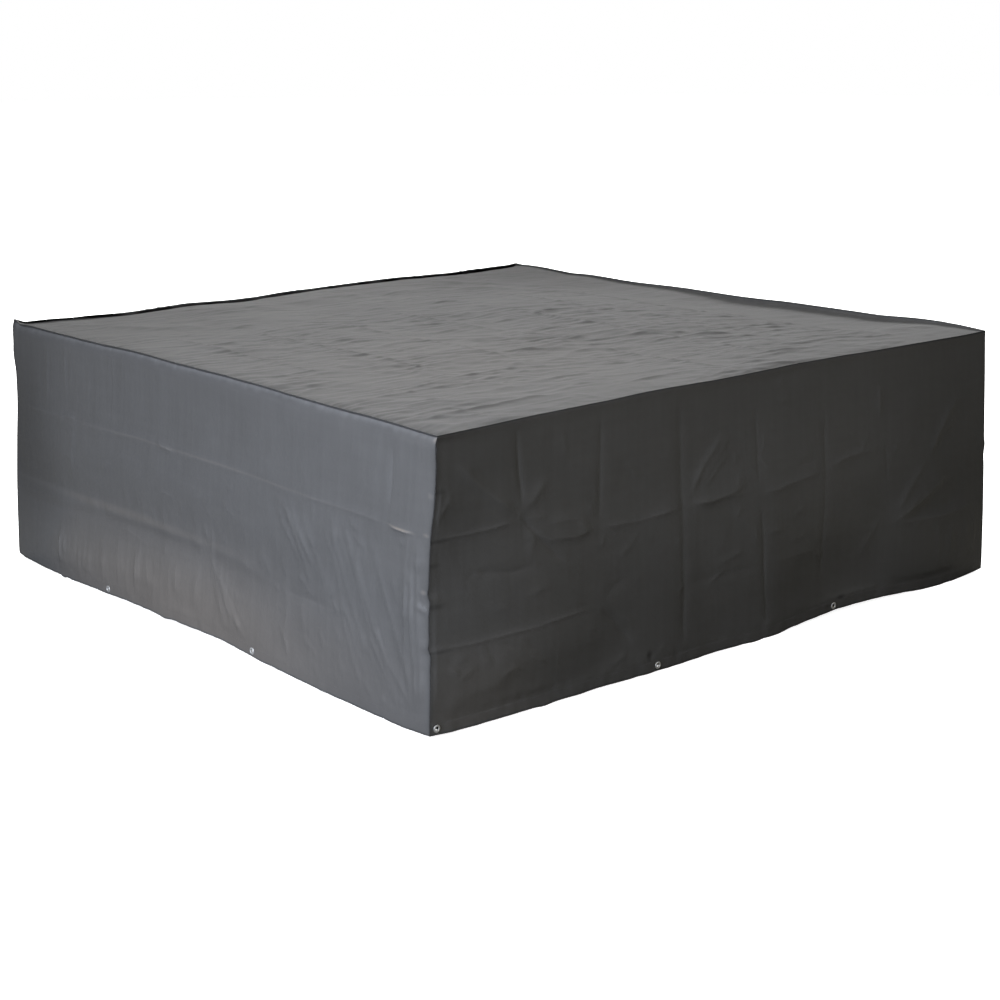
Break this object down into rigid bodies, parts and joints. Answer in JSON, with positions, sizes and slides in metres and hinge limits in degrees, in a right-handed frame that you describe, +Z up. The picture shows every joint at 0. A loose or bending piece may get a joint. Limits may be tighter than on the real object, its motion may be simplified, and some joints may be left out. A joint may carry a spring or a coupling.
{
  "type": "patio furniture cover",
  "caption": "Square fitted cover of grey woven sheet, hollow underneath, with creased side panels, a folded hem and metal eyelets round its lower edge.",
  "frame": {"origin": "middle of the top's underside, where the furniture holds the cover up", "axes": "+Z up; the front faces -Y; the left side faces -X"},
  "size_m": [2.0739, 2.064, 0.73],
  "materials": {
    "cloth": "dark grey coated woven sheet, low sheen",
    "hem": "the same sheet folded double",
    "eyelet": "bright pressed metal"
  },
  "bodies": {
    "root": {"top_panel": "cloth", "front_panel": "cloth", "hem_front": "hem", "right_panel": "cloth", "hem_right": "hem", "back_panel": "cloth", "hem_back": "hem", "left_panel": "cloth", "hem_left": "hem", "eyelet_front_1": "eyelet", "eyelet_front_2": "eyelet", "eyelet_front_3": "eyelet", "eyelet_right_1": "eyelet", "eyelet_right_2": "eyelet", "eyelet_right_3": "eyelet", "eyelet_back_1": "eyelet", "eyelet_back_2": "eyelet", "eyelet_back_3": "eyelet", "eyelet_back_4": "eyelet", "eyelet_left_1": "eyelet", "eyelet_left_2": "eyelet"}
  },
  "joints": []
}
